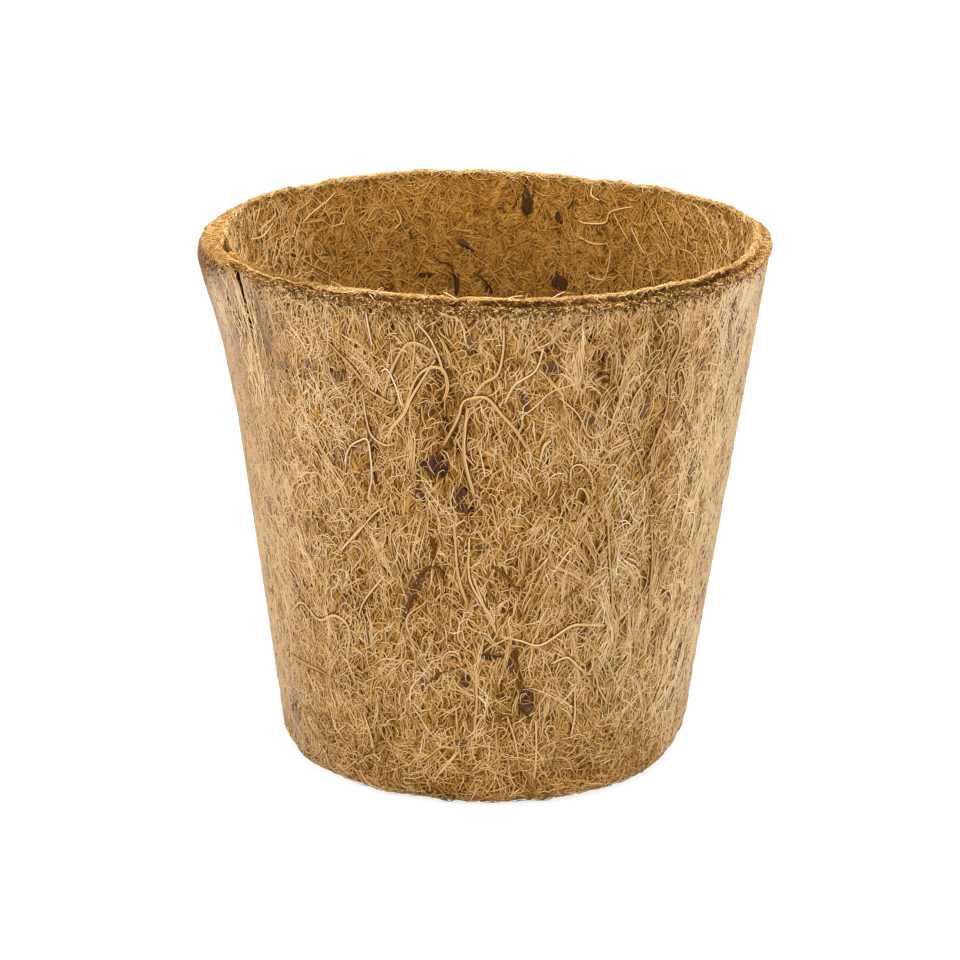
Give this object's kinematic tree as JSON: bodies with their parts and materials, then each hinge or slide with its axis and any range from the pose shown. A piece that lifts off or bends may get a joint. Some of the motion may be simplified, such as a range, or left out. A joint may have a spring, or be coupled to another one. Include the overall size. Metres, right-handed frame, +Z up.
{
  "type": "coir pot",
  "caption": "Tapered round plant pot pressed from two nested plies of latex-bonded coir felt, with husk chips and long fibres in its faces and one pleat at the rim.",
  "frame": {"origin": "centre of the flat underside, where the pot stands", "axes": "+Z up along the pot's axis, -Y to the front, which is the side pictured"},
  "size_m": [0.102, 0.0998, 0.0962],
  "materials": {
    "outer_felt": "pressed coir felt, latex-bonded, satin",
    "inner_felt": "pressed coir felt, matt",
    "husk": "dark coconut husk, matt",
    "coir_strand": "coarse coconut fibre, satin"
  },
  "bodies": {
    "root": {"outer_ply": "outer_felt", "inner_ply": "inner_felt", "husk_flake_01": "husk", "husk_flake_02": "husk", "husk_flake_03": "husk", "husk_flake_04": "husk", "husk_flake_05": "husk", "husk_flake_06": "husk", "husk_flake_07": "husk", "husk_flake_08": "husk", "husk_flake_09": "husk", "husk_flake_10": "husk", "husk_flake_11": "husk", "husk_flake_12": "husk", "husk_flake_13": "husk", "husk_flake_14": "husk", "husk_flake_15": "husk", "husk_flake_16": "husk", "husk_flake_17": "husk", "husk_flake_18": "husk", "husk_flake_19": "husk", "husk_flake_20": "husk", "husk_flake_21": "husk", "husk_flake_22": "husk", "husk_flake_23": "husk", "husk_flake_24": "husk", "husk_flake_25": "husk", "husk_flake_26": "husk", "husk_flake_27": "husk", "husk_flake_28": "husk", "husk_flake_29": "husk", "husk_flake_30": "husk", "husk_flake_31": "husk", "husk_flake_32": "husk", "husk_flake_33": "husk", "husk_flake_34": "husk", "husk_flake_35": "husk", "husk_flake_36": "husk", "inner_husk_flake_01": "husk", "inner_husk_flake_02": "husk", "inner_husk_flake_03": "husk", "inner_husk_flake_04": "husk", "inner_husk_flake_05": "husk", "inner_husk_flake_06": "husk", "inner_husk_flake_07": "husk", "inner_husk_flake_08": "husk", "surface_strand_01": "coir_strand", "surface_strand_02": "coir_strand", "surface_strand_03": "coir_strand", "surface_strand_04": "coir_strand", "surface_strand_05": "coir_strand", "surface_strand_06": "coir_strand", "surface_strand_07": "coir_strand", "surface_strand_08": "coir_strand", "surface_strand_09": "coir_strand", "surface_strand_10": "coir_strand"}
  },
  "joints": []
}
